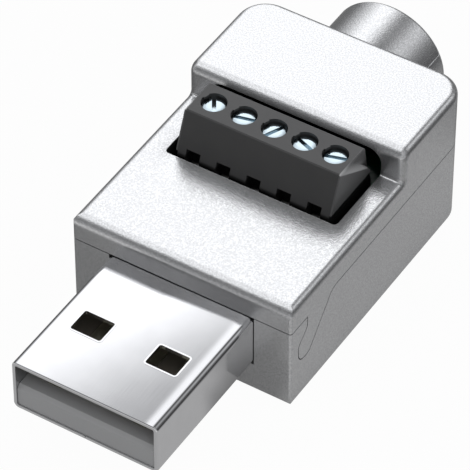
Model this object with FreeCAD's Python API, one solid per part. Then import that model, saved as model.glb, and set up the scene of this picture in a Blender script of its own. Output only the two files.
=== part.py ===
import FreeCAD, Part
import math
import os
from FreeCAD import Vector

# A USB plug with a screw terminal block behind it, in a two-part snap housing.
# Millimetres. X runs across the adapter, the plug points to -Y, the cable
# leaves towards +Y and Z is up. The origin is the middle of the bottom face.

# Housing
housing_width = 18.2
housing_length = 24.5
lower_height = 7.0
deck_height = 2.2
step_height = 2.8
step_from_front = 15.25
wall = 1.2
floor_thickness = 1.1
edge_round = 0.55
base_edge_round = 0.15
deck_front_round = 0.8
step_top_round = 0.8
step_base_round = 0.2
front_corner_round = 0.2
rear_corner_round = 2.3
inner_corner_round = 0.6
seam_gap = 0.08

# Cable outlet, half of it on each shell
collar_radius = 4.7
collar_length = 4.5
outlet_radius = 3.3
collar_rim_round = 0.35
outlet_chamfer = 0.3

# Snap tongues of the upper shell, from the front face back and from the seam down
tongue_front = 2.2
tongue_nose = 1.05
tongue_tip_back = 2.4
tongue_back = 5.55
tongue_drop = 3.6
tongue_neck_drop = 0.95
tongue_nose_drop = 2.0
tongue_bend_round = 0.45
tongue_tip_front_round = 0.75
tongue_tip_back_round = 0.6
tongue_back_round = 1.2

# Lip of the lower shell inside the side walls of the upper shell
lip_thickness = 0.5
lip_height = 0.7
lip_clearance = 0.05
lip_behind_tongue = 0.5
lip_from_rear = 3.2

# Window for the terminal block, through the deck and the wall of the step
window_side_gap = 0.7
window_front_gap = 0.35
window_top_round = 1.1
window_front_round = 0.35
lintel_height = 0.65

# Plug
plug_width = 12.0
plug_height = 4.5
plug_reach = 12.3
plug_inside = 6.4
plug_sheet = 0.3
plug_corner_round = 0.45
plug_mouth_round = 0.12
port_fit = 0.05
plug_seam = 0.06
latch_window_width = 2.5
latch_window_length = 2.0
latch_window_spacing = 6.2
latch_window_from_mouth = 5.8
latch_window_round = 0.15
shield_tab_width = 2.3
shield_tab_from_end = 1.2

# Plastic core of the plug and its contacts
core_fit = 0.02
core_tongue_height = 1.84
core_tongue_recess = 0.12
core_tongue_chamfer = 0.3
core_block_from_mouth = 9.2
contact_width = 1.0
contact_thickness = 0.3
contact_proud = 0.06
contact_bend_round = 0.35
contact_tail_width = 0.6
contact_tail_from_plug = 0.45
outer_contact_at = 3.5
inner_contact_at = 1.0
outer_contact_from_mouth = 1.5
inner_contact_from_mouth = 2.5

# Circuit board
board_thickness = 1.0
board_gap = 0.3
board_corner_round = 0.6
tail_beyond_board = 0.25
tail_neck_height = 0.3
hole_clearance = 0.12

# Rails and pegs that carry the board
rail_width = 0.7
rail_from_front = 7.0
rail_length = 12.0
peg_radius = 0.75
peg_clearance = 0.08
peg_boss_radius = 1.3
peg_above_board = 0.5
peg_from_side = 2.2
peg_from_rear = 2.4

# Ribs of the upper shell that hold the plug down
rib_thickness = 0.8
rib_spacing = 7.0

# Terminal block. Sizes across one pole, here and below, are for the standard pitch and scale with it.
pole_count = 5
standard_pitch = 2.54
block_from_side = 2.6
block_end_margin = 0.3
block_from_front = 9.4
block_depth = 5.95
block_above_deck = 3.2
block_upright_below_deck = 0.15
block_top_setback = 1.35
block_top_depth = 3.3
block_slope_foot = 1.2
block_edge_chamfer = 0.08
screw_setback = 3.0
ledge_depth = 0.25
ledge_start = 1.6
ledge_drop = 3.3
foot_inset = 0.15
foot_above_deck = 0.15
cavity_wall = 0.45
groove_width = 1.18
groove_depth = 0.8
groove_above_deck = 0.5
funnel_mouth_width = 1.9
funnel_mouth_height = 2.4
funnel_throat_width = 1.4
funnel_depth = 0.9

# Screws
screw_hole_radius = 0.98
screw_head_radius = 0.92
screw_head_height = 0.9
screw_recess = 0.3
screw_slot_width = 0.32
screw_slot_depth = 0.42
screw_head_round = 0.5
thread_radius = 0.7
thread_tip_chamfer = 0.15
thread_fit = 0.05
screw_tip_gap = 0.03
nib_width = 0.5
nib_reach = 0.06
nib_height = 0.2
nib_angle = 160.0
slot_angles = (122.0, 14.0, 65.0, -20.0, 17.0)

# Clamp cages, and the pins that they press the wire against
cage_clearance = 0.05
cage_depth = 2.9
cage_slide_room = 0.1
cage_side = 0.22
cage_top = 0.7
cage_floor = 0.45
cage_bend_round = 0.3
wire_height = 1.5
clamp_travel = 1.2
pin_width = 1.0
pin_thickness = 0.4
pin_fit = 0.05
pin_tail_width = 0.7
pin_bend_round = 0.12

# How far a cut runs past the face it leaves, how deep a rib is rooted, and a closeness for finding edges
past = 1.0
root = 0.5
close = 0.01

# Levels and stations that follow from the sizes above
half_width = housing_width / 2
overall_length = plug_reach + housing_length + collar_length
mouth_y = -overall_length / 2
front_y = mouth_y + plug_reach
rear_y = front_y + housing_length
end_y = rear_y + collar_length
step_y = front_y + step_from_front
seam_z = lower_height
upper_z = seam_z + seam_gap
deck_z = seam_z + deck_height
roof_z = deck_z + step_height
inner_half_width = half_width - wall
inner_front_y = front_y + wall
inner_rear_y = rear_y - wall

plug_top = seam_z
plug_bottom = plug_top - plug_height
plug_end_y = front_y + plug_inside
core_top = plug_bottom + plug_sheet + core_tongue_height
contact_top = core_top + contact_proud
contact_bottom = contact_top - contact_thickness
contact_tail_y = plug_end_y + contact_tail_from_plug
contact_x = [-outer_contact_at, -inner_contact_at, inner_contact_at, outer_contact_at]
contact_tips = [outer_contact_from_mouth, inner_contact_from_mouth]
contact_tips += reversed(contact_tips)

board_top = plug_bottom
board_bottom = board_top - board_thickness
tail_neck = board_top + tail_neck_height
tail_end = board_bottom - tail_beyond_board

block_y = front_y + block_from_front
block_back_y = block_y + block_depth
block_top_y = block_y + block_top_setback
block_width = housing_width - 2 * block_from_side
pole_pitch = (block_width - block_end_margin) / pole_count
pole_scale = pole_pitch / standard_pitch
block_top = deck_z + block_above_deck
pole_x = [(i - (pole_count - 1) / 2) * pole_pitch for i in range(pole_count)]
window_half = block_width / 2 + window_side_gap
window_y = block_y - window_front_gap
window_back_y = step_y + wall

screw_y = block_y + screw_setback
head_top = block_top - screw_recess
head_bottom = head_top - screw_head_height
hole_radius = screw_hole_radius * pole_scale
head_radius = screw_head_radius * pole_scale
shank_radius = thread_radius * pole_scale
bore_radius = shank_radius + thread_fit
strip_bottom = seam_z + wire_height / 2
strip_top = strip_bottom + pin_thickness
cage_inner_top = strip_top + cage_clearance
cage_inner_bottom = strip_bottom - wire_height
cage_upper = cage_inner_top + cage_top
cage_lower = cage_inner_bottom - cage_floor
cage_front_y = screw_y - cage_depth / 2
cage_back_y = screw_y + cage_depth / 2
cavity_top = cage_upper + clamp_travel + cage_slide_room
cavity_half = (pole_pitch - cavity_wall * pole_scale) / 2
cage_half = cavity_half - cage_clearance
strip_width = pin_width * pole_scale
groove_back_y = block_y + groove_depth
leg_back_y = groove_back_y - pin_fit
leg_y = leg_back_y - pin_thickness


def box(x0, x1, y0, y1, z0, z1):
    return Part.makeBox(x1 - x0, y1 - y0, z1 - z0, Vector(x0, y0, z0))


def post(radius, place, z0, z1):
    return Part.makeCylinder(radius, z1 - z0, Vector(place.x, place.y, z0))


def plan(z):
    return lambda x, y: Vector(x, y, z)


def side(x):
    return lambda y, z: Vector(x, y, z)


def front(y):
    return lambda x, z: Vector(x, y, z)


def rounded_wire(place, corners):
    """A closed wire through corners (a, b, radius). Radius 0 leaves a corner sharp."""
    points = [place(a, b) for a, b, radius in corners]
    bends = []
    for i, here in enumerate(points):
        radius = corners[i][2]
        before = (points[i - 1] - here).normalize()
        after = (points[(i + 1) % len(points)] - here).normalize()
        half_turn = before.getAngle(after) / 2
        reach = radius / math.tan(half_turn)
        middle = (before + after).normalize() * (radius / math.sin(half_turn) - radius)
        bends.append((here + before * reach, here + middle, here + after * reach))
    edges = []
    for i, (start, middle, end) in enumerate(bends):
        if corners[i][2] > 0:
            edges.append(Part.Arc(start, middle, end).toShape())
        following = bends[(i + 1) % len(bends)][0]
        edges.append(Part.LineSegment(end, following).toShape())
    return Part.Wire(edges)


def prism(place, corners, along):
    return Part.Face(rounded_wire(place, corners)).extrude(along)


def rectangle(a0, a1, b0, b1, radius):
    return [(a0, b0, radius), (a1, b0, radius), (a1, b1, radius), (a0, b1, radius)]


def mirrored(shape):
    return shape.mirror(Vector(0, 0, 0), Vector(1, 0, 0))


def both_sides(shape):
    return [shape, mirrored(shape)]


def rim_edges(body, outline):
    """The edges of a body that lie on this line seen from the side, and on the housing's edge in plan."""
    plan_line = rounded_wire(plan(0), plan_corners(0, 0, rear_corner_round))
    found = []
    for edge in body.Edges:
        middle = edge.valueAt((edge.FirstParameter + edge.LastParameter) / 2)
        from_side = Part.Vertex(0, middle.y, middle.z).distToShape(outline)[0]
        in_plan = Part.Vertex(middle.x, middle.y, 0).distToShape(plan_line)[0]
        if from_side < close and in_plan < close:
            found.append(edge)
    return found


def plan_corners(inset, front_radius, rear_radius):
    x = half_width - inset
    return [
        (-x, front_y + inset, front_radius),
        (x, front_y + inset, front_radius),
        (x, rear_y - inset, rear_radius),
        (-x, rear_y - inset, rear_radius),
    ]


def outer_prism(z0, z1, front_radius):
    corners = plan_corners(0, front_radius, rear_corner_round)
    return prism(plan(z0), corners, Vector(0, 0, z1 - z0))


def inner_prism(z0, z1):
    rear_radius = max(rear_corner_round - wall, inner_corner_round)
    corners = plan_corners(wall, inner_corner_round, rear_radius)
    return prism(plan(z0), corners, Vector(0, 0, z1 - z0))


def collar():
    """The whole cable outlet, turned about its axis in the seam."""
    profile = [
        (outlet_radius, inner_rear_y, 0),
        (collar_radius, inner_rear_y, 0),
        (collar_radius, end_y, collar_rim_round),
        (outlet_radius + outlet_chamfer, end_y, 0),
        (outlet_radius, end_y - outlet_chamfer, 0),
    ]
    face = Part.Face(rounded_wire(plan(seam_z), profile))
    return face.revolve(Vector(0, 0, seam_z), Vector(0, 1, 0), 360)


def collar_half(z0, z1):
    return collar().common(box(-half_width, half_width, front_y, end_y + past, z0, z1))


def outlet_bore():
    start = Vector(0, inner_rear_y - past, seam_z)
    return Part.makeCylinder(outlet_radius, end_y - inner_rear_y + 2 * past, start, Vector(0, 1, 0))


def tongue_corners():
    """Side outline of a snap tongue, which hooks forward under the nose of the lower shell."""
    root_z = (upper_z + deck_z) / 2
    root_back = front_y + tongue_back + tongue_back_round
    return [
        (front_y + tongue_front, root_z, 0),
        (front_y + tongue_front, seam_z - tongue_neck_drop, tongue_bend_round),
        (front_y + tongue_nose, seam_z - tongue_nose_drop, tongue_bend_round),
        (front_y + tongue_nose, seam_z - tongue_drop, tongue_tip_front_round),
        (front_y + tongue_tip_back, seam_z - tongue_drop, tongue_tip_back_round),
        (front_y + tongue_back, upper_z, tongue_back_round),
        (root_back, upper_z, 0),
        (root_back, root_z, 0),
    ]


def snap_tongue():
    return prism(side(inner_half_width), tongue_corners(), Vector(wall, 0, 0))


def tongue_notch():
    """The opening for a tongue in the side wall below: its outline, wider by the seam's gap."""
    outline = rounded_wire(side(inner_half_width - past), tongue_corners())
    grown = outline.makeOffset2D(seam_gap, 0, False, False)
    return Part.Face(grown).extrude(Vector(wall + 2 * past, 0, 0))


def shell_window():
    """The cut for the terminal block, through the deck and the wall of the step."""
    low = seam_z - past
    lintel_z = roof_z - lintel_height
    upright = [
        (-window_half, low, 0),
        (window_half, low, 0),
        (window_half, lintel_z, window_top_round),
        (-window_half, lintel_z, window_top_round),
    ]
    flat = [
        (-window_half, window_y, window_front_round),
        (window_half, window_y, window_front_round),
        (window_half, window_back_y, 0),
        (-window_half, window_back_y, 0),
    ]
    through = prism(front(window_y), upright, Vector(0, window_back_y - window_y, 0))
    return through.common(prism(plan(low), flat, Vector(0, 0, roof_z - low)))


def upper_outside():
    """Deck, step and roof in one piece. The rim is rounded in one run, then the front's own edges."""
    corners = [
        (front_y, upper_z, 0),
        (rear_y, upper_z, 0),
        (rear_y, roof_z, 0),
        (step_y, roof_z, step_top_round),
        (step_y, deck_z, step_base_round),
        (front_y, deck_z, 0),
    ]
    across = Vector(2 * housing_width, 0, 0)
    body = prism(side(-housing_width), corners, across).common(outer_prism(seam_z, roof_z + past, 0))
    rim = rim_edges(body, rounded_wire(side(0), corners))
    body = body.makeFillet(edge_round, [e for e in rim if e.BoundBox.ZMin > upper_z + close])
    corners[-1] = (front_y, deck_z, deck_front_round)
    body = body.common(prism(side(-housing_width), corners, across))
    return body.common(outer_prism(seam_z, roof_z + past, front_corner_round))


def upper_hollow():
    under_deck = inner_prism(seam_z - past, deck_z - wall)
    under_roof = inner_prism(seam_z - past, roof_z - wall)
    behind_step = box(-half_width, half_width, window_back_y, rear_y, seam_z - past, roof_z)
    return under_deck.fuse(under_roof.common(behind_step))


def side_lip(thickness, clearance):
    """A strip along the inside of the side wall at +X, from below the seam up to the lip's top."""
    y0 = front_y + tongue_back + tongue_back_round + lip_behind_tongue
    y1 = rear_y - lip_from_rear
    x1 = inner_half_width + thickness + clearance
    return box(inner_half_width, x1, y0 - clearance, y1 + clearance, seam_z - root, seam_z + lip_height)


def hold_down_rib(x):
    x0 = x - rib_thickness / 2
    return box(x0, x0 + rib_thickness, inner_front_y - root, plug_end_y, plug_top, deck_z - wall + root)


def make_upper_shell():
    shell = upper_outside().fuse(collar_half(upper_z, roof_z)).cut(upper_hollow())
    shell = shell.fuse(both_sides(snap_tongue()) + both_sides(hold_down_rib(rib_spacing / 2)))
    rebate = side_lip(lip_thickness, lip_clearance)
    return shell.cut([outlet_bore(), shell_window()] + both_sides(rebate))


def lower_outside():
    body = outer_prism(0, seam_z, 0)
    bottom_line = Part.makePolygon([Vector(0, front_y, 0), Vector(0, rear_y, 0)])
    body = body.makeFillet(base_edge_round, rim_edges(body, bottom_line))
    return body.common(outer_prism(0, seam_z, front_corner_round))


def plug_port():
    half = plug_width / 2 + port_fit
    return box(-half, half, front_y - past, inner_front_y + past, plug_bottom - port_fit, seam_z + past)


def board_rail():
    y0 = front_y + rail_from_front
    x0 = inner_half_width - rail_width
    return box(x0, inner_half_width + root, y0, y0 + rail_length, floor_thickness - root, board_bottom)


def peg_place():
    return Vector(inner_half_width - peg_from_side, inner_rear_y - peg_from_rear, 0)


def board_peg():
    boss = post(peg_boss_radius, peg_place(), floor_thickness - root, board_bottom)
    return boss.fuse(post(peg_radius, peg_place(), floor_thickness, board_top + peg_above_board))


def make_lower_shell():
    shell = lower_outside().fuse(collar_half(0, seam_z)).cut(inner_prism(floor_thickness, seam_z + past))
    lip = side_lip(lip_thickness, 0)
    shell = shell.fuse(both_sides(lip) + both_sides(board_rail()) + both_sides(board_peg()))
    return shell.cut([plug_port(), outlet_bore()] + both_sides(tongue_notch()))


def plug_section(inset, y0, y1):
    x = plug_width / 2 - inset
    radius = max(plug_corner_round - inset, close)
    corners = rectangle(-x, x, plug_bottom + inset, plug_top - inset, radius)
    return prism(front(y0), corners, Vector(0, y1 - y0, 0))


def latch_windows(x):
    """One latch window in the top and one in the bottom of the plug."""
    x0 = x - latch_window_width / 2
    y0 = mouth_y + latch_window_from_mouth - latch_window_length / 2
    corners = rectangle(x0, x0 + latch_window_width, y0, y0 + latch_window_length, latch_window_round)
    return prism(plan(plug_bottom - past), corners, Vector(0, 0, plug_height + 2 * past))


def shield_tab():
    x1 = plug_width / 2
    y1 = plug_end_y - shield_tab_from_end
    return box(x1 - plug_sheet, x1, y1 - shield_tab_width, y1, tail_end, plug_bottom + plug_corner_round)


def make_plug_shell():
    """The folded sheet around the plug, with its seam underneath and a tab down each side."""
    tube = plug_section(0, mouth_y, plug_end_y)
    mouth = [e for e in tube.Edges if e.BoundBox.YMax < mouth_y + close]
    tube = tube.makeFillet(plug_mouth_round, mouth)
    tube = tube.cut(plug_section(plug_sheet, mouth_y - past, plug_end_y + past))
    half = plug_seam / 2
    seam = box(-half, half, mouth_y - past, plug_end_y + past, 0, plug_bottom + 2 * plug_sheet)
    tube = tube.cut(both_sides(latch_windows(latch_window_spacing / 2)) + [seam])
    return tube.fuse(both_sides(shield_tab()))


def neck_cuts(x, full_width, tail_width, y0, y1):
    """Two blocks that narrow a leg to its tail, from just above the board down."""
    half = tail_width / 2
    left = box(x - full_width, x - half, y0, y1, 0, tail_neck)
    right = box(x + half, x + full_width, y0, y1, 0, tail_neck)
    return [left, right]


def make_contact(x, tip_from_mouth):
    """A contact: flat in the plug, bent down behind it, its tail through the board."""
    y0 = mouth_y + tip_from_mouth
    y1 = contact_tail_y + contact_thickness / 2
    y2 = y1 - contact_thickness
    corners = [
        (y0, contact_bottom, 0),
        (y2, contact_bottom, max(contact_bend_round - contact_thickness, close)),
        (y2, tail_end, 0),
        (y1, tail_end, 0),
        (y1, contact_top, contact_bend_round),
        (y0, contact_top, 0),
    ]
    strip = prism(side(x - contact_width / 2), corners, Vector(contact_width, 0, 0))
    return strip.cut(neck_cuts(x, contact_width, contact_tail_width, y2 - past, y1 + past))


def contact_slot(x, tip_from_mouth):
    half = contact_width / 2 + core_fit
    y0 = mouth_y + tip_from_mouth - core_fit
    return box(x - half, x + half, y0, plug_end_y + past, contact_bottom, contact_top + core_fit)


def make_core():
    """The plastic core: a block that fills the back of the plug, and the tongue under the contacts."""
    inset = plug_sheet + core_fit
    nose_y = mouth_y + core_tongue_recess
    block = plug_section(inset, mouth_y + core_block_from_mouth, plug_end_y)
    tongue = plug_section(inset, nose_y, plug_end_y)
    tongue = tongue.common(box(-plug_width, plug_width, mouth_y, plug_end_y, 0, core_top))
    upper = [e for e in tongue.Edges if e.BoundBox.ZMin > core_top - close]
    nose = [e for e in upper if e.BoundBox.YMax < nose_y + close]
    tongue = tongue.makeChamfer(core_tongue_chamfer, nose)
    slots = [contact_slot(x, tip) for x, tip in zip(contact_x, contact_tips)]
    return block.fuse(tongue).cut(slots)


def board_cut(place, radius):
    return post(radius, place, board_bottom - past, board_top + past)


def tail_radius(width, thickness):
    """The radius of a board hole that a flat tail passes."""
    return math.hypot(width, thickness) / 2 + hole_clearance


def tab_slot():
    x0 = plug_width / 2 - plug_sheet - hole_clearance
    x1 = plug_width / 2 + hole_clearance
    y1 = plug_end_y - shield_tab_from_end + hole_clearance
    y0 = y1 - shield_tab_width - 2 * hole_clearance
    corners = rectangle(x0, x1, y0, y1, hole_clearance)
    return prism(plan(board_bottom - past), corners, Vector(0, 0, board_thickness + 2 * past))


def make_board():
    half = inner_half_width - board_gap
    y0 = inner_front_y + board_gap
    corners = rectangle(-half, half, y0, inner_rear_y - board_gap, board_corner_round)
    board = prism(plan(board_bottom), corners, Vector(0, 0, board_thickness))
    contact_hole = tail_radius(contact_tail_width, contact_thickness)
    pin_hole = tail_radius(pin_tail_width, pin_thickness)
    cuts = [board_cut(Vector(x, contact_tail_y, 0), contact_hole) for x in contact_x]
    cuts += [board_cut(Vector(x, leg_y + pin_thickness / 2, 0), pin_hole) for x in pole_x]
    peg_hole = board_cut(peg_place(), peg_radius + peg_clearance)
    return board.cut(cuts + both_sides(tab_slot()) + both_sides(peg_hole))


def block_corners():
    """Side outline of the terminal block, which leans in to its narrow top."""
    return [
        (block_y, board_top, 0),
        (block_back_y, board_top, 0),
        (block_back_y, seam_z + block_slope_foot, 0),
        (block_top_y + block_top_depth, block_top, 0),
        (block_top_y, block_top, 0),
        (block_y, deck_z - block_upright_below_deck, 0),
    ]


def ledge_wedge():
    """The wedge cut out of an end face at its upper rear. Its ledge slants and falls to the rear."""
    x = block_width / 2
    high = Vector(x, block_top_y + block_top_depth - ledge_start, block_top)
    low = Vector(x, block_back_y, block_top - ledge_drop)
    deep = low + Vector(-ledge_depth, 0, ledge_depth)
    peak = Vector(x, block_back_y, block_top)
    triangles = [(high, low, peak), (low, deep, peak), (high, deep, low), (high, peak, deep)]
    faces = [Part.Face(Part.makePolygon([a, b, c, a])) for a, b, c in triangles]
    return Part.Solid(Part.Shell(faces))


def foot_cut():
    """Below the deck, an end face stands back a little from its upper part."""
    x1 = block_width / 2
    y1 = block_back_y + past
    return box(x1 - foot_inset, x1 + past, block_y - past, y1, board_top - past, deck_z + foot_above_deck)


def screw_hole(x):
    """Counterbore for the head, neck for the shank, and the nib that keeps the screw in."""
    axis = Vector(x, screw_y, 0)
    nib_x = head_radius - nib_reach
    half = nib_width / 2
    nib = box(nib_x, nib_x + past, -half, half, block_top - nib_height, block_top + 2 * past)
    nib.rotate(Vector(0, 0, 0), Vector(0, 0, 1), nib_angle)
    counterbore = post(hole_radius, axis, head_bottom, block_top + past).cut(nib.translated(axis))
    return counterbore.fuse(post(bore_radius, axis, cavity_top - root, head_bottom))


def cage_cavity(x):
    y0 = cage_front_y - cage_slide_room
    y1 = cage_back_y + cage_slide_room
    return box(x - cavity_half, x + cavity_half, y0, y1, board_top - past, cavity_top)


def pin_groove(x):
    """The groove in the front face for a pin's leg, and the slit that its tongue goes through."""
    half = groove_width * pole_scale / 2
    groove_top = deck_z + groove_above_deck
    groove = box(x - half, x + half, block_y - past, groove_back_y, board_top - past, groove_top)
    half = strip_width / 2 + pin_fit
    slit = box(x - half, x + half, block_y, screw_y, strip_bottom - pin_fit, strip_top + pin_fit)
    return groove.fuse(slit)


def funnel_section(x, y, width, height):
    z = strip_bottom - wire_height / 2
    half = width * pole_scale / 2
    corners = rectangle(x - half, x + half, z - height / 2, z + height / 2, half / 2)
    return rounded_wire(front(y), corners)


def wire_funnel(x):
    """The flared wire entry in the rear face, straight through to the cage."""
    throat_y = block_back_y - funnel_depth
    start = funnel_section(x, screw_y, funnel_throat_width, wire_height)
    throat = funnel_section(x, throat_y, funnel_throat_width, wire_height)
    mouth = funnel_section(x, block_back_y, funnel_mouth_width, funnel_mouth_height)
    flare = Part.makeLoft([throat, mouth], True, True)
    return flare.fuse(Part.Face(start).extrude(Vector(0, throat_y - screw_y, 0)))


def make_block():
    block = prism(side(-block_width / 2), block_corners(), Vector(block_width, 0, 0))
    top_edges = [e for e in block.Edges if e.BoundBox.ZMin > block_top - close]
    block = block.makeChamfer(block_edge_chamfer, top_edges)
    cuts = both_sides(ledge_wedge()) + both_sides(foot_cut())
    for x in pole_x:
        cuts += [screw_hole(x), cage_cavity(x), pin_groove(x), wire_funnel(x)]
    return block.cut(cuts)


def make_screw(x, slot_angle):
    tip = strip_top + screw_tip_gap
    profile = [
        (0, tip, 0),
        (shank_radius - thread_tip_chamfer, tip, 0),
        (shank_radius, tip + thread_tip_chamfer, 0),
        (shank_radius, head_bottom, 0),
        (head_radius, head_bottom, 0),
        (head_radius, head_top, screw_head_round),
        (0, head_top, 0),
    ]
    face = Part.Face(rounded_wire(front(0), profile))
    turned = face.revolve(Vector(0, 0, 0), Vector(0, 0, 1), 360)
    half = screw_slot_width / 2
    slot = box(-past, past, -half, half, head_top - screw_slot_depth, block_top)
    slot.rotate(Vector(0, 0, 0), Vector(0, 0, 1), slot_angle)
    return turned.cut(slot).translated(Vector(x, screw_y, 0))


def make_cage(x):
    """A bent sleeve, open to the wire along Y, with the tapped hole in its top."""
    outer = rectangle(x - cage_half, x + cage_half, cage_lower, cage_upper, cage_bend_round)
    sleeve = prism(front(cage_front_y), outer, Vector(0, cage_depth, 0))
    half = cage_half - cage_side * pole_scale
    y0 = cage_front_y - past
    y1 = cage_back_y + past
    passage = box(x - half, x + half, y0, y1, cage_inner_bottom, cage_inner_top)
    tapped = post(bore_radius, Vector(x, screw_y, 0), strip_top, cage_upper + past)
    return sleeve.cut([passage, tapped])


def make_pin(x):
    """A bent strip: its tongue lies in the cage, its leg goes down the groove and through the board."""
    corners = [
        (leg_y, tail_end, 0),
        (leg_back_y, tail_end, 0),
        (leg_back_y, strip_bottom, pin_bend_round),
        (cage_back_y, strip_bottom, 0),
        (cage_back_y, strip_top, 0),
        (leg_y, strip_top, pin_bend_round + pin_thickness),
    ]
    strip = prism(side(x - strip_width / 2), corners, Vector(strip_width, 0, 0))
    return strip.cut(neck_cuts(x, strip_width, pin_tail_width, leg_y - past, leg_back_y + past))


def make_parts():
    parts = {
        "upper_shell": make_upper_shell(),
        "lower_shell": make_lower_shell(),
        "plug_shell": make_plug_shell(),
        "plug_core": make_core(),
        "circuit_board": make_board(),
        "terminal_block": make_block(),
    }
    for i, (x, tip) in enumerate(zip(contact_x, contact_tips)):
        parts[f"plug_contact_{i + 1}"] = make_contact(x, tip)
    for i, x in enumerate(pole_x):
        parts[f"terminal_screw_{i + 1}"] = make_screw(x, slot_angles[i % len(slot_angles)])
        parts[f"clamp_cage_{i + 1}"] = make_cage(x)
        parts[f"terminal_pin_{i + 1}"] = make_pin(x)
    return parts


os.makedirs("parts", exist_ok=True)
for name, shape in make_parts().items():
    solid = shape.removeSplitter()
    solid.exportStep(f"parts/{name}.step")
    bounds = solid.optimalBoundingBox()
    size = f"{bounds.XLength:.2f} x {bounds.YLength:.2f} x {bounds.ZLength:.2f}"
    print(f"{name}: {len(solid.Solids)} solid, valid {solid.isValid()}, {solid.Volume:.2f} mm3, {size}")
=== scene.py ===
# %% [markdown]
# # A plug with a row of screw terminals
#
# This lesson dresses a small adapter: a flat steel plug for a computer's port, a silver
# two-part housing with a stepped roof, a black terminal block with five screws, and a round
# outlet for a cable. The CAD solids arrive as a fixed frame. We give them finishes, and model
# by hand the small things that the solids leave plain, such as threads, solder and copper.

# %% Load the frame
import math

import bmesh
import bpy
from mathutils import Matrix, Vector


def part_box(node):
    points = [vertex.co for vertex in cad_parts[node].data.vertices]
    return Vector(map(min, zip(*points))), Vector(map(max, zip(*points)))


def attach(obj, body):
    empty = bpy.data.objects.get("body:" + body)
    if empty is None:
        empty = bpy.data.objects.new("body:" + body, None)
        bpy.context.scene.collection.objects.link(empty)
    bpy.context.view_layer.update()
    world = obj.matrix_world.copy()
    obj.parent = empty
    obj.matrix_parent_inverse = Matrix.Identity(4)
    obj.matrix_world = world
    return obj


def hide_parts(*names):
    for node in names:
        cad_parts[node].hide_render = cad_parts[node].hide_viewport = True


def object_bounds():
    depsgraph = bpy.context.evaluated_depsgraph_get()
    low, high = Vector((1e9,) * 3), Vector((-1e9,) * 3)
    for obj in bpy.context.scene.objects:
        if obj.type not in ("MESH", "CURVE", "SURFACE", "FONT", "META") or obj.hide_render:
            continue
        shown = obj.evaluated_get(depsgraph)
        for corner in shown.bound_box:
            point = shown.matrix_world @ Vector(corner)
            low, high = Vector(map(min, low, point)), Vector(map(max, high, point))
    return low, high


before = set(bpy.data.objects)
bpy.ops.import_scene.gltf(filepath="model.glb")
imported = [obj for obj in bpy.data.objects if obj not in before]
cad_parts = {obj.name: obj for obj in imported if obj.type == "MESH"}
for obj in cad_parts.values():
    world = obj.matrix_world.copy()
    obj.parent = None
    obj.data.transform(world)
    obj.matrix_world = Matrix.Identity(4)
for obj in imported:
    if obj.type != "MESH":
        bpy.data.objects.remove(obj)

mm = 0.001
cad_low, cad_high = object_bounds()
print("frame:", len(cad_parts), "solids, box in mm", [round(v / mm, 2) for v in cad_high - cad_low])

# %% [markdown]
# ## The places that matter
#
# Every hand-made piece sits on a solid, so we ask the frame where the solids are instead of
# typing numbers twice. A box has a low and a high corner, and most places are one of its sides.
# A few lie inside a box, such as the deck, and are so far down from one of its sides. All of
# it is in millimetres, and only a finished shape goes back to metres.

# %% Measure the solids
ROOF_OVER_DECK = 2.8
STEP_BEHIND_FRONT = 15.25
WINDOW_GAP = 0.4


def box_in_mm(node):
    low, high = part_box(node)
    return low / mm, high / mm


roof_low, roof_high = box_in_mm("upper_shell")
plug_low, plug_high = box_in_mm("plug_shell")
board_low, board_high = box_in_mm("circuit_board")
block_low, block_high = box_in_mm("terminal_block")
deck = roof_high.z - ROOF_OVER_DECK
step = roof_low.y + STEP_BEHIND_FRONT
seam = plug_high.z
window_front = block_low.y - WINDOW_GAP
poles = range(1, 6)
screw_boxes = {i: box_in_mm(f"terminal_screw_{i}") for i in poles}
print("deck at z", round(deck, 2), "step at y", round(step, 2), "seam at z", round(seam, 2))

# %% [markdown]
# ## The camera
#
# The picture was taken from far away with a long lens, looking down at the plug's corner.
# A long lens keeps the edges nearly parallel. The three axes of the camera come from its
# compass angle and its height angle, and its place is a step along each of them.

# %% Set up the camera
AZIMUTH = math.radians(32.15)
ELEVATION = math.radians(44.59)
LENS_PER_SENSOR = 3963.5 / 470
SENSOR = 36.0
ASIDE, ABOVE, AWAY = 3.80, 3.62, 278.2

flat = math.cos(ELEVATION)
right = Vector((math.cos(AZIMUTH), math.sin(AZIMUTH), 0))
back = Vector((math.sin(AZIMUTH) * flat, -math.cos(AZIMUTH) * flat, math.sin(ELEVATION)))
up = back.cross(right)
place = (Vector((0, roof_low.y, seam)) + right * ASIDE + up * ABOVE + back * AWAY) * mm
camera = bpy.data.objects.new("camera", bpy.data.cameras.new("camera"))
camera.data.sensor_width = SENSOR
camera.data.lens = LENS_PER_SENSOR * SENSOR
camera.data.clip_start = 0.01
camera.data.clip_end = 10.0
camera.matrix_world = Matrix.Translation(place) @ Matrix((right, up, back)).transposed().to_4x4()
bpy.context.scene.collection.objects.link(camera)
bpy.context.scene.camera = camera
print("camera lens", round(camera.data.lens, 1), "mm at", [round(v, 3) for v in place])

# %% [markdown]
# ## Sums on shader values
#
# A material is a chain of nodes, and sums with nodes are hard to read. So a small class wraps
# the output of a node, and Python's own signs add the Math nodes: `1 - mask * 0.3` just works.
# A mask is a value that is 1 in one region and 0 elsewhere, and `rise` and `between` make most
# of them.

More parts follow.
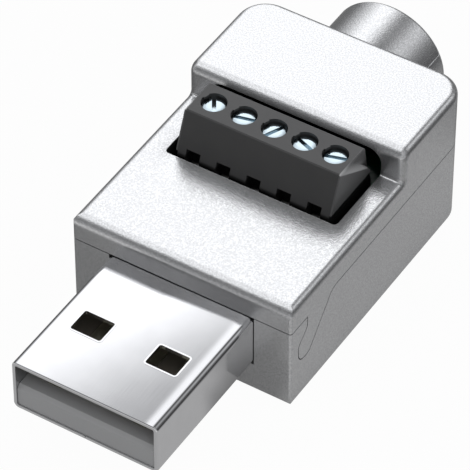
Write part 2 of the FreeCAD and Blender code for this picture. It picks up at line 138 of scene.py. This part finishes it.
# %% Wrap the nodes
class Value:
    """The output of a node, on which +, -, *, / and ** work."""

    def __init__(self, recipe, socket):
        self.recipe = recipe
        self.socket = socket

    def maths(self, operation, *values):
        inputs = dict(enumerate(values))
        return self.recipe.node("ShaderNodeMath", {"operation": operation}, inputs)

    def __add__(self, other):
        return self.maths("ADD", self, other)

    def __sub__(self, other):
        return self.maths("SUBTRACT", self, other)

    def __rsub__(self, other):
        return self.maths("SUBTRACT", other, self)

    def __mul__(self, other):
        return self.maths("MULTIPLY", self, other)

    def __truediv__(self, other):
        return self.maths("DIVIDE", self, other)

    def __pow__(self, other):
        return self.maths("POWER", self, other)

    def __abs__(self):
        return self.maths("ABSOLUTE", self)

    def most(self, other):
        return self.maths("MAXIMUM", self, other)

    def least(self, other):
        return self.maths("MINIMUM", self, other)

    def soft_least(self, other, softness):
        return self.maths("SMOOTH_MIN", self, other, softness)

    def wave(self):
        return self.maths("SINE", self)

    def rise(self, start, end):
        """0 below start and 1 above end, with a soft step between."""
        inputs = {"Value": self, "From Min": start, "From Max": end}
        return self.recipe.node("ShaderNodeMapRange", {"interpolation_type": "SMOOTHSTEP"}, inputs)

    def between(self, low, high):
        """1 from low to high and 0 outside, with narrow soft edges."""
        edge = 0.03
        return self.rise(low - edge, low + edge) * (1 - self.rise(high - edge, high + edge))

    __radd__ = __add__
    __rmul__ = __mul__


print("sums on nodes work:", [name for name in vars(Value) if not name.startswith("_")])

# %% [markdown]
# Every other node comes from one method, which takes its kind, its settings and its inputs.
# The rest of a recipe are short names for the nodes that the finishes share: a place in
# millimetres, noise, a blend of two colours, a relief and the surface itself.

# %% Write recipes
class Recipe:
    """The nodes of one material, or of the world."""

    def __init__(self, tree):
        self.tree = tree
        tree.nodes.clear()

    def node(self, kind, settings=None, inputs=None, out=0):
        made = self.tree.nodes.new(kind)
        for name, value in (settings or {}).items():
            setattr(made, name, value)
        for key, value in (inputs or {}).items():
            if isinstance(value, Value):
                self.tree.links.new(made.inputs[key], value.socket)
            else:
                made.inputs[key].default_value = value
        return Value(self, made.outputs[out]) if made.outputs else made

    def place(self):
        """Where a point is on the object, in millimetres."""
        here = self.node("ShaderNodeTexCoord", out="Object")
        return self.node("ShaderNodeVectorMath", {"operation": "SCALE"}, {0: here, "Scale": 1 / mm})

    def split(self, vector):
        return [self.node("ShaderNodeSeparateXYZ", inputs={0: vector}, out=i) for i in range(3)]

    def stretched(self, vector, amounts):
        return self.node("ShaderNodeVectorMath", {"operation": "MULTIPLY"}, {0: vector, 1: amounts})

    def noise(self, vector, scale, detail=2.0, roughness=0.5):
        inputs = {"Vector": vector, "Scale": scale, "Detail": detail, "Roughness": roughness}
        return self.node("ShaderNodeTexNoise", inputs=inputs)

    def blend(self, factor, first, second):
        """The first colour where the factor is 0 and the second where it is 1."""
        inputs = {"Factor": factor, 6: self.colour(first), 7: self.colour(second)}
        return self.node("ShaderNodeMix", {"data_type": "RGBA"}, inputs, out=2)

    def colour(self, value):
        return value if isinstance(value, Value) else (*value, 1.0)

    def bump(self, height, depth):
        """A surface that is raised by depth, in millimetres, where the height is 1."""
        return self.node("ShaderNodeBump", inputs={"Height": height, "Strength": 1.0, "Distance": depth * mm})

    def surface(self, **looks):
        names = {name.replace("_", " ").title(): value for name, value in looks.items()}
        shader = self.node("ShaderNodeBsdfPrincipled", inputs=names)
        self.node("ShaderNodeOutputMaterial", inputs={"Surface": shader})

    def seen_by(self):
        """1 for rays from the camera, and 1 for rays that come by way of a mirror or glass."""
        kinds = ("Camera", "Glossy", "Transmission")
        rays = [self.node("ShaderNodeLightPath", out=f"Is {kind} Ray") for kind in kinds]
        return rays[0], rays[1].most(rays[2])


def new_recipe(name):
    finish = bpy.data.materials.new(name)
    finish.use_nodes = True
    return finish, Recipe(finish.node_tree)


def grey(tone):
    return (tone, tone, tone)


print("recipes are ready")

# %% [markdown]
# ## The floor
#
# The floor is plain and matt, and it holds the object's shadow. Rays straight from the camera
# find it white. Rays by way of a mirror find it pale too, so bright metal shows the same
# background, but not evenly: in mirrors the floor's glow carries painted light and shade,
# brightest ahead of the object, as where a window falls on a table in a studio, and dimmer far
# out at the sides and behind. The plug's side, the mouth and the round outlet take their soft
# bands from that. So the strength of the shine is a sum of soft patches, each placed by its
# distance from the housing.

# %% Lay the floor
FLOOR_REACH = 3.0
FLOOR_GAP = 0.02 * mm


def floor_in_mirrors(x, y):
    """The painted light and shade of the floor's glow, as bright metal sees it at each place."""
    ahead = roof_low.y - y
    beside = x - roof_high.x
    right_side = (beside + ahead.rise(2, 6) * 3).rise(-2, 1)
    near_right = right_side * (0.17 + ahead.rise(-1, 2) * 0.14)
    near_front = (1 - right_side) * ahead.rise(7, 14) * 0.28
    far_front = ahead.rise(18, 30) * 0.38 - ahead.rise(45, 90) * 0.20
    behind = y.rise(19, 26) * x.rise(-4, 8) * 0.14
    far_sides = (beside.rise(3, 24) * 0.30 + (1 - x.rise(-20, -10)) * 0.14) * (1 - ahead.rise(0, 20))
    return 0.24 + near_right + near_front + far_front - behind - far_sides


floor_finish, recipe = new_recipe("pale_floor")
here = recipe.place()
grain = recipe.noise(here, scale=0.05)
matt = recipe.node("ShaderNodeBsdfDiffuse", inputs={"Color": recipe.blend(grain, grey(0.44), grey(0.48))})
by_camera, by_mirror = recipe.seen_by()
strength = by_camera + by_mirror * floor_in_mirrors(*recipe.split(here)[:2])
shine = recipe.node("ShaderNodeEmission", inputs={"Color": (1, 1, 1, 1), "Strength": strength})
share = by_camera * 0.97 + by_mirror * 0.90
paled = recipe.node("ShaderNodeMixShader", inputs={0: share, 1: matt, 2: shine})
recipe.node("ShaderNodeOutputMaterial", inputs={0: paled})

form = bmesh.new()
bmesh.ops.create_grid(form, x_segments=2, y_segments=2, size=FLOOR_REACH)
floor_mesh = bpy.data.meshes.new("floor")
form.to_mesh(floor_mesh)
form.free()
floor_mesh.transform(Matrix.Translation((0, 0, cad_low.z - FLOOR_GAP)))
floor_mesh.materials.append(floor_finish)
floor_thing = bpy.data.objects.new("floor", floor_mesh)
bpy.context.scene.collection.objects.link(floor_thing)
print("the floor lies", FLOOR_GAP / mm, "mm under the object")

# %% [markdown]
# ## The sky
#
# One long soft box hangs over the left and runs the length of the object. It is the key. A flat
# top throws the camera's view just into it, so tops turn nearly white, and a tiny bend in the
# metal is enough to run from white to grey. Its far half is the stronger one. A narrow glow at
# the back right lights rounded edges. A low glow along the front horizon and three broad faint
# ones are there for mirrors alone, so that the metal isn't black from any side. Between them
# the tent stays dim, as rounded things need something dark to show against. In place of those
# glows, matt surfaces get an even light from overhead and from a window on the right. All of
# it is one sum on the direction of a ray, with no lamps, so mirrors show it as soft as it is.

# %% Hang the lights
BOX_X = -0.40
BOX_LEVEL = 1.38
BOX_FAR_EXTRA = 0.47


def studio_sky(recipe):
    outward = recipe.node("ShaderNodeTexCoord", out="Generated")
    x, y, height = recipe.split(outward)

    def glow(towards, strength, sharpness):
        """A soft round glow in the sky. The sharper it is, the narrower."""
        inputs = {0: outward, 1: towards}
        aim = recipe.node("ShaderNodeVectorMath", {"operation": "DOT_PRODUCT"}, inputs, out="Value")
        return aim.most(0) ** sharpness * strength

    box_side = 1 - abs(x - BOX_X).rise(0.04, 0.48)
    box_along = y.rise(-0.60, -0.28) * BOX_LEVEL + y.rise(0.42, 0.64) * BOX_FAR_EXTRA
    long_box = box_side * box_along * (1 - y.rise(0.78, 0.93))
    edge_glow = glow((0.49, 0.65, 0.58), strength=1.1, sharpness=28.0)
    low_front = (1 - y.rise(-0.90, -0.70)) * (1 - height.rise(0.20, 0.50)) * 0.30
    front_glow = glow((0.62, -0.56, 0.55), strength=0.5, sharpness=5.0)
    left_glow = glow((-0.80, -0.45, 0.40), strength=0.5, sharpness=12.0)
    top_glow = glow((0.10, -0.25, 0.96), strength=0.25, sharpness=9.0)
    overhead = glow((0.0, 0.30, 0.95), strength=0.5, sharpness=2.0)
    window_light = glow((0.98, 0.05, 0.20), strength=0.8, sharpness=1.0)
    by_camera, by_mirror = recipe.seen_by()
    in_mirrors = 0.08 + low_front + front_glow + left_glow + top_glow
    on_matt = 0.20 + overhead + window_light
    tent = by_mirror * in_mirrors + (1 - by_camera - by_mirror) * on_matt
    return by_camera + (1 - by_camera) * (long_box + edge_glow + tent)


world = bpy.data.worlds.new("studio")
bpy.context.scene.world = world
world.use_nodes = True
recipe = Recipe(world.node_tree)
cool_white = (0.97, 0.98, 1.0, 1)
sky = recipe.node("ShaderNodeBackground", inputs={"Color": cool_white, "Strength": studio_sky(recipe)})
recipe.node("ShaderNodeOutputWorld", inputs={0: sky})
bpy.context.scene.view_settings.view_transform = "Standard"
print("the sky has", len(world.node_tree.nodes), "nodes")

# %% [markdown]
# ## Satin silver paint
#
# The housing is moulded plastic under silver paint. From near, such paint is a bed of tiny
# flakes: each catches the light at its own angle, so the surface sparkles finely and never
# looks flat. We make the flakes with two grains of noise, one for colour and one for a very
# low relief, and let the paint's gloss wander a little.
#
# Two masks go with it. A thin moulded wall sinks a little towards an opening, and here the
# deck does so at the block's window, where satin paint then mirrors the dark block and not
# the sky. The other mask is painted shade: the rooms, the cut edges of the window and the
# bore of the outlet, where shade falls, are painted near black and not metallic.

# %% Mask the deck's sink and the painted shade inside
INNER = 1.15
COLLAR = 4.5
BORE = 3.3
WINDOW = 7.25
WINDOW_CORNERS = 10.45
SINK_REACH = 3.4


def deck_sink(x, y, z):
    """1 on the deck at the block's window, and 0 from a few millimetres ahead of it."""
    near_window = (1 - (window_front - y) / SINK_REACH).most(0).least(1)
    return near_window * (1 - abs(x).rise(6.0, 9.0)) * z.between(deck - 0.2, deck + 0.3)


def shade_painted_inside(x, y, z):
    """1 where shade is painted: in the rooms, on the cut edges of the block's window and in the outlet's
    bore.
    """
    side = roof_high.x - INNER
    rear = roof_high.y - COLLAR - INNER
    across = x.between(-side, side)
    main_room = across * y.between(roof_low.y + INNER, rear) * z.between(INNER, seam + 1)
    back_room = across * y.between(block_high.y, rear) * z.between(INNER, roof_high.z - INNER)
    window = x.between(-WINDOW, WINDOW) * y.between(window_front, block_high.y + 1.2)
    under_deck = 1 - z.rise(deck - 0.10, deck - 0.04)
    below_corners = 1 - z.rise(WINDOW_CORNERS - 0.05, WINDOW_CORNERS + 0.05)
    in_step = y.rise(step + 0.06, step + 0.12) * below_corners
    above_seam = z - seam
    from_axis = x * x + above_seam * above_seam
    bore = y.rise(rear - 0.1, rear) * (1 - from_axis.rise(BORE**2 + 0.11, BORE**2 + 0.51))
    return main_room.most(back_room).most(window * under_deck.most(in_step)).most(bore)


print("the deck sinks over", SINK_REACH, "mm ahead of the window at y", round(window_front, 2))

# %% Mix the silver paint
FLAKE_RELIEF = 0.3
SINK_RELIEF = 17
PAINT_DEPTH = 0.0095


def silver_paint():
    finish, recipe = new_recipe("satin_silver_paint")
    here = recipe.place()
    x, y, z = recipe.split(here)
    flakes = recipe.noise(here, scale=8.0, detail=2.0, roughness=0.7).rise(0.38, 0.62)
    clouds = recipe.noise(here, scale=0.35, detail=2.0)
    tone = recipe.blend(flakes * 0.85 + clouds * 0.15, (0.54, 0.542, 0.548), (0.68, 0.682, 0.688))
    sink = deck_sink(x, y, z)
    fine = recipe.noise(here, scale=12.0, detail=2.0, roughness=0.6)
    relief = fine + flakes * FLAKE_RELIEF - sink * sink * SINK_RELIEF
    # Painted shade: the rooms, the window's cut edges and the bore are painted near black, rougher and not
    # metallic.
    painted_shade = shade_painted_inside(x, y, z)
    recipe.surface(
        base_color=recipe.blend(painted_shade, tone, grey(0.025)),
        metallic=0.85 - painted_shade * 0.85,
        roughness=0.21 + (clouds - 0.5) * 0.06 - flakes * 0.03 + painted_shade * 0.3,
        normal=recipe.bump(relief, PAINT_DEPTH),
    )
    return finish


housing_finish = silver_paint()
print("mixed", housing_finish.name)

# %% [markdown]
# ## Bright nickel on folded sheet
#
# The plug is a strip of steel folded to a box and plated. Plating follows the sheet, and a
# pressed sheet is never quite flat, so reflections bend over it. A broad low swell does that
# everywhere. The sheet also sags slightly towards the front right corner, so its mirror image
# of the soft box runs out into grey there, and the sag stops at the fold of the right side,
# which keeps a bright stripe. Fine hairlines run along the plug where sockets have rubbed it.

# %% Plate the plug
FOLD_WIDTH = 0.85
FOLD_SOFTNESS = 0.4
SAG_SLANT = 0.5
SAG_TILT, SAG_BEND, SAG_EASE = 0.036, 0.0495, 0.00125


def plug_plating():
    finish, recipe = new_recipe("bright_nickel")
    here = recipe.place()
    x, y = recipe.split(here)[:2]
    hairlines = recipe.noise(recipe.stretched(here, (9.0, 0.25, 9.0)), scale=1.0, detail=3.0, roughness=0.6)
    haze = recipe.noise(here, scale=0.6, detail=3.0)
    swell = recipe.noise(here, scale=0.12, detail=1.0)
    up_to_fold = x.soft_least(plug_high.x - FOLD_WIDTH, FOLD_SOFTNESS)
    across = (up_to_fold - plug_low.x - (y - plug_low.y) * SAG_SLANT).most(0)
    sag = across * SAG_TILT + across**2.0 * SAG_BEND - across**3.0 * SAG_EASE
    recipe.surface(
        base_color=recipe.blend(haze, (0.60, 0.60, 0.61), (0.67, 0.67, 0.68)),
        metallic=1.0,
        roughness=0.05 + haze * 0.06 + hairlines * 0.04,
        normal=recipe.bump(swell * 0.1 - sag + hairlines * 0.006, 0.25),
    )
    return finish


plug_finish = plug_plating()
print("mixed", plug_finish.name)

# %% [markdown]
# ## Moulded plastics
#
# The terminal block and the core of the plug are plain mouldings. A mould is spark-eroded, so
# the plastic carries its fine dull grain. One recipe serves both: a tone, how much the tone
# wanders, a gloss and a grain, and last a function that paints light and shade into the tone.
# The block's ends are painted paler, as light from the right falls on them, with a painted
# highlight along a slanted line and painted shade on the block below the deck, in the window.
# The core's nose is painted paler too, as light reaches the front of the mouth and not deeper in.

# %% Mould the plastics
MOULD_GRAIN = 0.003
LEDGE_HIGHLIGHT_START = 2.4
LEDGE_HIGHLIGHT_SLOPE = 0.6
LEDGE_HIGHLIGHT_WIDTH = 1.3


# Painted light: the end faces are painted paler where light from the right falls, a slanted band gets a
# painted highlight, and below the deck the block is painted near black as shade.
def block_ends_painted_light(recipe, here, tone):
    x, y, z = recipe.split(here)
    end = abs(x).rise(block_high.x - 0.15, block_high.x - 0.08)
    below_line = (block_high.z - 0.1) - (y - LEDGE_HIGHLIGHT_START) * LEDGE_HIGHLIGHT_SLOPE - z
    ledge_highlight = (1 - below_line.rise(-0.05, 0.05)) * (below_line + LEDGE_HIGHLIGHT_WIDTH).rise(0.2, LEDGE_HIGHLIGHT_WIDTH)
    tone = recipe.blend(end, tone, recipe.blend(ledge_highlight, grey(0.080), grey(0.32)))
    return recipe.blend(1 - z.rise(deck - 0.05, deck + 0.10), tone, grey(0.008))


# Painted light: the core is painted paler at the front of the mouth, where light reaches, and keeps its dark
# tone deeper in, where shade falls.
def painted_lit_nose(recipe, here, tone):
    y = recipe.split(here)[1]
    nose = 1 - y.rise(plug_low.y + 0.8, plug_low.y + 2.4)
    return recipe.blend(nose, tone, grey(0.45))


# The last argument is a function that paints light and shade into the tone.
def moulded_plastic(name, dark, light, gloss, painted_light):
    finish, recipe = new_recipe(name)
    here = recipe.place()
    grain = recipe.noise(here, scale=12.0, detail=2.0, roughness=0.6)
    clouds = recipe.noise(here, scale=0.8, detail=3.0)
    tone = recipe.blend(grain * 0.4 + clouds * 0.6, dark, light)
    recipe.surface(
        base_color=painted_light(recipe, here, tone),
        roughness=gloss + (grain - 0.5) * 0.15,
        normal=recipe.bump(grain, MOULD_GRAIN),
    )
    return finish


block_tones = (0.030, 0.030, 0.031), (0.044, 0.043, 0.042)
core_tones = (0.13, 0.115, 0.095), (0.20, 0.18, 0.15)
block_finish = moulded_plastic("black_block_plastic", *block_tones, 0.36, block_ends_painted_light)
core_finish = moulded_plastic("core_plastic", *core_tones, 0.40, painted_lit_nose)
print("mixed", block_finish.name, "and", core_finish.name)

# %% [markdown]
# ## Metal strips, screws and cages
#
# Small stamped parts are plated by the thousand in a barrel, where they tumble and scratch
# each other, so their gloss is patchy and full of tiny dents. The screws are blue zinc, the
# contacts pale gold over nickel, the pins tinned and the cages nickel. A wide noise makes the
# patches and a fine one the dents, and one function plates them all.

# %% Plate the small parts
def barrel_plating(name, dark, light, gloss, dents):
    finish, recipe = new_recipe(name)
    here = recipe.place()
    patches = recipe.noise(here, scale=2.2, detail=3.0)
    tumbled = recipe.noise(here, scale=9.0, detail=2.0, roughness=0.5)
    recipe.surface(
        base_color=recipe.blend(patches, dark, light),
        metallic=1.0,
        roughness=gloss + (patches - 0.5) * 0.25,
        normal=recipe.bump(tumbled, dents),
    )
    return finish


screw_finish = barrel_plating("blue_zinc", (0.42, 0.50, 0.55), (0.54, 0.62, 0.66), gloss=0.14, dents=0.005)
contact_finish = barrel_plating("pale_gold", (0.60, 0.58, 0.46), (0.72, 0.70, 0.58), gloss=0.45, dents=0.004)
pin_finish = barrel_plating("tinned_strip", (0.34, 0.34, 0.33), (0.46, 0.46, 0.45), gloss=0.38, dents=0.006)
cage_finish = barrel_plating("nickel_cage", (0.48, 0.47, 0.44), (0.60, 0.58, 0.54), gloss=0.33, dents=0.008)
print("plated", [finish.name for finish in (screw_finish, contact_finish, pin_finish, cage_finish)])

# %% [markdown]
# ## The circuit board
#
# Green lacquer over glass cloth: the cloth's weave shows faintly through the lacquer, and the
# cut edge is bare straw-coloured laminate. Two sine waves, one along each side of the board
# and multiplied, give the weave.

# %% Lacquer the board
WEAVE = 9.0


def board_lacquer():
    finish, recipe = new_recipe("green_board")
    here = recipe.place()
    x, y, z = recipe.split(here)
    weave = (x * WEAVE).wave() * (y * WEAVE).wave()
    clouds = recipe.noise(here, scale=0.5, detail=2.0)
    top, bottom = board_high.z, board_low.z
    face = z.rise(top - 0.10, top - 0.02).most(1 - z.rise(bottom + 0.02, bottom + 0.10))
    green = recipe.blend(clouds, (0.006, 0.075, 0.035), (0.012, 0.110, 0.050))
    recipe.surface(
        base_color=recipe.blend(face, (0.33, 0.30, 0.16), green),
        roughness=0.62 - face * 0.34 + clouds * 0.05,
        normal=recipe.bump(weave, 0.004),
    )
    return finish


board_finish = board_lacquer()
print("mixed", board_finish.name)

# %% [markdown]
# ## Dress the solids
#
# Each solid keeps its exact shape, which was measured and checked, and takes a finish in its
# own material slot. A table of names and finishes is enough for that.

# %% Give each solid its finish
finishes = {
    "upper_shell": housing_finish,
    "lower_shell": housing_finish,
    "plug_shell": plug_finish,
    "plug_core": core_finish,
    "circuit_board": board_finish,
    "terminal_block": block_finish,
}
for i in range(1, 5):
    finishes[f"plug_contact_{i}"] = contact_finish
for i in poles:
    finishes[f"terminal_screw_{i}"] = screw_finish
    finishes[f"clamp_cage_{i}"] = cage_finish
    finishes[f"terminal_pin_{i}"] = pin_finish
for name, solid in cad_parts.items():
    solid.data.materials.clear()
    solid.data.materials.append(finishes[name])
print("dressed", len(finishes), "solids")

# %% [markdown]
# ## Shapes by hand
#
# The small shapes below are turned, bent or pressed on the real part, and we make them the same
# way. All are drawn in millimetres. The last step of each one makes its normals point outward,
# keeps edges sharp where two faces meet at a clear angle, and turns millimetres into metres.

# %% Shape helpers
UP = (0, 0, 1)
SAME_PLACE = 1e-4
SHARP = math.radians(35)


def close_seams(form):
    bmesh.ops.remove_doubles(form, verts=form.verts, dist=SAME_PLACE)
    bmesh.ops.recalc_face_normals(form, faces=form.faces)


def lathe(form, profile, steps):
    """Spin a chain of (radius, height) points round the upright axis."""
    points = [form.verts.new((radius, 0, height)) for radius, height in profile]
    chain = [form.edges.new(pair) for pair in zip(points, points[1:])]
    turn = {"cent": (0, 0, 0), "axis": UP, "angle": math.tau, "steps": steps}
    bmesh.ops.spin(form, geom=points + chain, use_merge=True, **turn)


def thicken(form, faces, height):
    """Draw flat faces up, or down, into a slab."""
    raised = bmesh.ops.extrude_face_region(form, geom=faces)["geom"]
    corners = [v for v in raised if isinstance(v, bmesh.types.BMVert)]
    bmesh.ops.translate(form, vec=(0, 0, height), verts=corners)


def add_to(form, part):
    """Put a small form into a larger one."""
    mesh = bpy.data.meshes.new("part")
    part.to_mesh(mesh)
    part.free()
    form.from_mesh(mesh)


def finish_piece(form, name, finish, body, replaces=None):
    """Turn a form in millimetres into a named piece that rides on a body."""
    close_seams(form)
    for face in form.faces:
        face.smooth = True
    for edge in form.edges:
        edge.smooth = edge.calc_face_angle(math.pi) < SHARP
    mesh = bpy.data.meshes.new(name)
    form.to_mesh(mesh)
    form.free()
    mesh.transform(Matrix.Scale(mm, 4))
    mesh.materials.append(finish)
    piece = bpy.data.objects.new(name, mesh)
    bpy.context.scene.collection.objects.link(piece)
    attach(piece, body)
    if replaces:
        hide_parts(replaces)
    print(name, "has", len(mesh.polygons), "faces")


print("the shape helpers are ready")

# %% [markdown]
# ## Screws with real threads
#
# A terminal screw is turned on a lathe: a low cheese head with a slot sawn through it, and a
# thread rolled onto the shank. The head is nearly flat with only its rim eased, so in its hole
# it shines over all its width. We spin its profile and cut the slot with a thin box as the saw.
# The thread is a small ridge that climbs as it is spun round the shank.

# %% A saw for the slots
def cut_away(form, tool):
    """What is left of a form when a tool is cut out of it."""
    things = []
    for part in (form, tool):
        mesh = bpy.data.meshes.new("cutting")
        part.to_mesh(mesh)
        part.free()
        things.append(bpy.data.objects.new("cutting", mesh))
        bpy.context.scene.collection.objects.link(things[-1])
    cut = things[0].modifiers.new("cut", "BOOLEAN")
    cut.object = things[1]
    cut.operation = "DIFFERENCE"
    cut.solver = "EXACT"
    seen = things[0].evaluated_get(bpy.context.evaluated_depsgraph_get())
    left = bmesh.new()
    left.from_mesh(seen.data)
    for thing in things:
        bpy.data.objects.remove(thing)
    return left


print("the saw is ready")

# %% Turn the screws
SLOT_ANGLES = (122.0, 14.0, 65.0, -20.0, 17.0)
SLOT_WIDTH = 0.32
SLOT_DEPTH = 0.42
SAW_LENGTH = 4
HEAD = 0.92
HEAD_HEIGHT = 0.9
SHANK = 0.69
TIP_CHAMFER = 0.14
THREAD = 0.74
THREAD_PITCH = 0.3
THREAD_TURNS = 9
THREAD_WIDTH = 0.26
THREAD_ROOT = 0.02
THREAD_START = 0.15
THREAD_STEPS = 20
HEAD_STEPS = 48


def turned_blank(tip, top):
    """The screw before it has a slot and a thread."""
    under_head = top - HEAD_HEIGHT
    shank = [(0, tip), (SHANK - TIP_CHAMFER, tip), (SHANK, tip + TIP_CHAMFER), (SHANK, under_head)]
    rim = [(HEAD, under_head), (HEAD, top - 0.09), (HEAD - 0.03, top - 0.04), (HEAD - 0.09, top - 0.012)]
    crown = [(0.4, top - 0.003), (0, top)]
    form = bmesh.new()
    lathe(form, shank + rim + crown, steps=HEAD_STEPS)
    close_seams(form)
    return form


def slot_saw(top, angle):
    saw = bmesh.new()
    bmesh.ops.create_cube(saw, size=1.0)
    bmesh.ops.scale(saw, vec=(SAW_LENGTH, SLOT_WIDTH, 2 * SLOT_DEPTH), verts=saw.verts)
    bmesh.ops.rotate(saw, matrix=Matrix.Rotation(math.radians(angle), 3, "Z"), verts=saw.verts)
    bmesh.ops.translate(saw, vec=(0, 0, top), verts=saw.verts)
    return saw


def roll_thread(form, start):
    """Spin a small triangle round the shank, and climb with it."""
    foot = SHANK - THREAD_ROOT
    ridge = [(foot, 0), (THREAD, THREAD_WIDTH / 2), (foot, THREAD_WIDTH)]
    points = [form.verts.new((radius, 0, start + height)) for radius, height in ridge]
    ring = [form.edges.new(pair) for pair in zip(points, points[1:] + points[:1])]
    climb = (0, 0, THREAD_PITCH / THREAD_STEPS)
    turns = {"angle": math.tau * THREAD_TURNS, "steps": THREAD_STEPS * THREAD_TURNS, "dvec": climb}
    bmesh.ops.spin(form, geom=points + ring, cent=(0, 0, 0), axis=UP, **turns)
    bmesh.ops.holes_fill(form, edges=[e for e in form.edges if e.is_boundary], sides=3)


for i, angle in zip(poles, SLOT_ANGLES):
    low, high = screw_boxes[i]
    form = cut_away(turned_blank(low.z, high.z), slot_saw(high.z, angle))
    roll_thread(form, low.z + THREAD_START)
    bmesh.ops.translate(form, vec=((low.x + high.x) / 2, (low.y + high.y) / 2, 0), verts=form.verts)
    finish_piece(form, f"threaded_screw_{i}", screw_finish, f"screw_{i}", f"terminal_screw_{i}")

# %% [markdown]
# ## Pressed lips round the latch windows
#
# The punch that opens a latch window leaves a low rounded lip round it. The lip catches the light
# all the way round, and so each window has a thin bright outline on a grey part of the plug. We
# start from a sheet with round corners, open its middle, and draw the ring that is left up.

# %% Press the window lips
LATCH_WINDOW = (2.5, 2.0)
LATCH_ASIDE = 3.1
LATCH_BEHIND_MOUTH = 5.8
PLUG_THICKNESS = 4.5
LIP_WIDTH = 0.13
LIP_HEIGHT = 0.03
LIP_SUNK = 0.01
LIP_CORNER = 0.28
lip_finish = barrel_plating("lip_nickel", (0.60, 0.60, 0.61), (0.67, 0.67, 0.68), gloss=0.16, dents=0.001)


def window_lip(form, x, face, outward):
    """A lip on the plug's top, or on its underside, where outward is -1."""
    width, length = [side + 2 * LIP_WIDTH for side in LATCH_WINDOW]
    sheet = bmesh.new()
    bmesh.ops.create_grid(sheet, x_segments=1, y_segments=1, size=0.5)
    bmesh.ops.scale(sheet, vec=(width, length, 1), verts=sheet.verts)
    round_off = {"offset": LIP_CORNER, "segments": 4, "profile": 0.5, "affect": "VERTICES", "material": -1}
    bmesh.ops.bevel(sheet, geom=list(sheet.verts), **round_off)
    ring = {"thickness": LIP_WIDTH, "use_boundary": True, "use_even_offset": True}
    bmesh.ops.inset_region(sheet, faces=list(sheet.faces), **ring)
    middle = max(sheet.faces, key=lambda part: len(part.verts))
    bmesh.ops.delete(sheet, geom=[middle], context="FACES_ONLY")
    thicken(sheet, list(sheet.faces), LIP_HEIGHT * outward)
    centre = (x, plug_low.y + LATCH_BEHIND_MOUTH, face - LIP_SUNK * outward)
    bmesh.ops.translate(sheet, vec=centre, verts=sheet.verts)
    add_to(form, sheet)


form = bmesh.new()
for x in (-LATCH_ASIDE, LATCH_ASIDE):
    window_lip(form, x, plug_high.z, 1)
    window_lip(form, x, plug_high.z - PLUG_THICKNESS, -1)
finish_piece(form, "window_lips", lip_finish, "adapter")

# %% [markdown]
# ## Solder and copper
#
# Under the block and behind the plug the strips pass through the board and are soldered. Each
# joint has a round pad of copper, and the solder climbs up the strip in a hollow cone. The long
# tabs of the plug's shell have long joints of their own, drawn out along the tab.

# %% Solder the joints
SOLDER_CONE = [(0, 0), (1, 0), (0.72, 0.05), (0.5, 0.13), (0.42, 0.22), (0, 0.24)]
PAD_RIM = 0.16
PIN_JOINT, CONTACT_JOINT, TAB_JOINT = 0.62, 0.58, 0.52
TAB_ASIDE, TAB_MIDDLE, TAB_STRETCH = 5.85, -4.30, 2.9
solder_finish = barrel_plating("solder", (0.52, 0.52, 0.53), (0.66, 0.66, 0.67), gloss=0.26, dents=0.004)
copper_finish = barrel_plating("pad_copper", (0.52, 0.27, 0.14), (0.64, 0.36, 0.20), gloss=0.36, dents=0.002)


def soldered(solder, copper, x, y, reach, stretch):
    """A joint on each face of the board, drawn out along Y for the long tabs."""
    rim = reach + PAD_RIM
    cone = [(reach * share, height) for share, height in SOLDER_CONE]
    pad = [(0, -0.01), (rim, -0.01), (rim, 0.02), (rim - 0.03, 0.035), (0, 0.035)]
    for face, outward in ((board_high.z, 1), (board_low.z, -1)):
        for form, profile in ((solder, cone), (copper, pad)):
            joint = bmesh.new()
            lathe(joint, [(radius, face + outward * height) for radius, height in profile], steps=24)
            bmesh.ops.scale(joint, vec=(1, stretch, 1), verts=joint.verts)
            bmesh.ops.translate(joint, vec=(x, y, 0), verts=joint.verts)
            add_to(form, joint)


pins = [box_in_mm(f"terminal_pin_{i}") for i in poles]
contacts = [box_in_mm(f"plug_contact_{i}") for i in range(1, 5)]
pin_joints = [((low.x + high.x) / 2, low.y + 0.20, PIN_JOINT, 1) for low, high in pins]
contact_joints = [((low.x + high.x) / 2, high.y - 0.15, CONTACT_JOINT, 1) for low, high in contacts]
tab_joints = [(x, TAB_MIDDLE, TAB_JOINT, TAB_STRETCH) for x in (-TAB_ASIDE, TAB_ASIDE)]
solder, copper = bmesh.new(), bmesh.new()
for joint in pin_joints + contact_joints + tab_joints:
    soldered(solder, copper, *joint)
finish_piece(solder, "solder_joints", solder_finish, "adapter")

# %% [markdown]
# Wide copper runs lead from the plug's contacts to the terminals. A run is a flat strip with
# mitred corners: at each place we step half a width to both sides, bridge the two chains of
# edges, and draw the strip up to its thickness.

# %% Lay the copper runs
RUN_WIDTH = 0.5
RUN_HEIGHT = 0.04
RUN_SUNK = 0.01
BEFORE_BEND = Vector((0, 0.7))


def copper_run(form, places):
    steps = [(b - a).normalized() for a, b in zip(places, places[1:])]
    sides = {1: [], -1: []}
    for place, before, after in zip(places, steps[:1] + steps, steps + steps[-1:]):
        mitre = (before + after).normalized()
        reach = RUN_WIDTH / 2 / mitre.dot(before)
        for side in sides:
            corner = place + mitre.orthogonal() * reach * side
            sides[side].append(form.verts.new((*corner, board_high.z - RUN_SUNK)))
    edges = [form.edges.new(pair) for side in sides.values() for pair in zip(side, side[1:])]
    thicken(form, bmesh.ops.bridge_loops(form, edges=edges)["faces"], RUN_HEIGHT)


for contact, pin in zip(contact_joints, pin_joints):
    start, end = Vector(contact[:2]), Vector(pin[:2])
    copper_run(copper, [start, start + BEFORE_BEND, end - BEFORE_BEND, end])
finish_piece(copper, "copper_layer", copper_finish, "adapter")

# %% [markdown]
# The dressed object has to stay inside the box of the solids.
